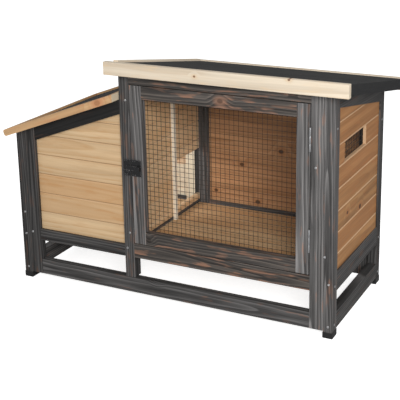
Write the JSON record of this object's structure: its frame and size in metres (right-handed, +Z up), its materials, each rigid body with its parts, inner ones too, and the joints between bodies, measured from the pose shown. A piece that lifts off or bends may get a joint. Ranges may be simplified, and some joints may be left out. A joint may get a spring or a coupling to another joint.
{
  "type": "rabbit hutch",
  "caption": "Wooden rabbit hutch on legs: a cabin with a hinged wire door and turn latch under a sloping felt roof, joined to a nest box with a lift-up felt lid.",
  "frame": {"origin": "centre of the whole hutch's footprint, at floor level under the feet", "axes": "+X along the front from the nest box to the cabin, +Y from the door to the back, +Z up"},
  "size_m": [1.2258, 0.597, 0.8187],
  "materials": {
    "stained_pine": "satin stain",
    "pine_boards": "planed, oiled",
    "pine_trim": "planed, oiled",
    "roof_deck": "sawn",
    "roof_felt": "mineral grit",
    "foot_plastic": "moulded",
    "mesh_wire": "dull",
    "hinge_steel": "zinc plated",
    "screw_steel": "zinc plated",
    "latch_metal": "gloss black"
  },
  "bodies": {
    "hutch": {"right_front_leg": "stained_pine", "right_back_leg": "stained_pine", "left_front_leg": "stained_pine", "left_back_leg": "stained_pine", "right_end_rails": "stained_pine", "left_end_rails": "stained_pine", "front_mid_post": "stained_pine", "front_right_stile": "stained_pine", "front_header": "stained_pine", "front_sill": "stained_pine", "front_lower_rail": "stained_pine", "nest_front_stile": "stained_pine", "nest_front_top_rail": "stained_pine", "nest_front_mid_rail": "stained_pine", "back_stiles": "stained_pine", "back_mid_post": "stained_pine", "cabin_back_stile": "stained_pine", "cabin_back_rails": "stained_pine", "back_lower_rail": "stained_pine", "nest_back_rails": "stained_pine", "partition_sill": "stained_pine", "nest_ledger": "stained_pine", "floor_bearers": "stained_pine", "main_roof_battens": "stained_pine", "right_end_boards": "pine_boards", "left_end_boards": "pine_boards", "nest_front_boards": "pine_boards", "cabin_back_boards": "pine_boards", "nest_back_boards": "pine_boards", "partition_boards": "pine_boards", "upper_left_board": "pine_boards", "pop_hole_batten": "pine_boards", "nest_floor": "pine_boards", "cabin_floor": "pine_boards", "main_roof_front_fascia": "pine_trim", "main_roof_back_fascia": "pine_trim", "main_roof_verge": "pine_trim", "main_roof_deck": "roof_deck", "main_roof_felt": "roof_felt", "foot_caps": "foot_plastic", "vent_mesh": "mesh_wire", "door_hinge_frame_leaves": "hinge_steel", "door_hinge_pins": "hinge_steel", "lid_hinge_wall_leaves": "hinge_steel", "lid_hinge_pins": "hinge_steel", "frame_screws": "screw_steel", "latch_keeper": "latch_metal"},
    "nest_lid": {"nest_lid_battens": "pine_trim", "nest_lid_deck": "roof_deck", "nest_lid_felt": "roof_felt", "lid_hinge_lid_leaves": "hinge_steel"},
    "door": {"door_left_stile": "stained_pine", "door_right_stile": "stained_pine", "door_top_rail": "stained_pine", "door_bottom_rail": "stained_pine", "door_mesh": "mesh_wire", "door_hinge_door_leaves": "hinge_steel", "latch_plate": "latch_metal"},
    "latch": {"latch_turn": "latch_metal"}
  },
  "joints": [
    {"name": "door_hinge", "type": "hinge", "parent": "hutch", "child": "door", "pos_m": [0.48339, -0.2607, 0.47], "axis": [0, 0, 1], "range_deg": [0, 175]},
    {"name": "nest_lid_hinge", "type": "hinge", "parent": "hutch", "child": "nest_lid", "pos_m": [-0.17431, -0.02, 0.71184], "axis": [0, 1, 0], "range_deg": [0, 75]},
    {"name": "latch_turn", "type": "hinge", "parent": "door", "child": "latch", "pos_m": [-0.10561, -0.2607, 0.462], "axis": [0, 1, 0], "range_deg": [0, 90]}
  ]
}
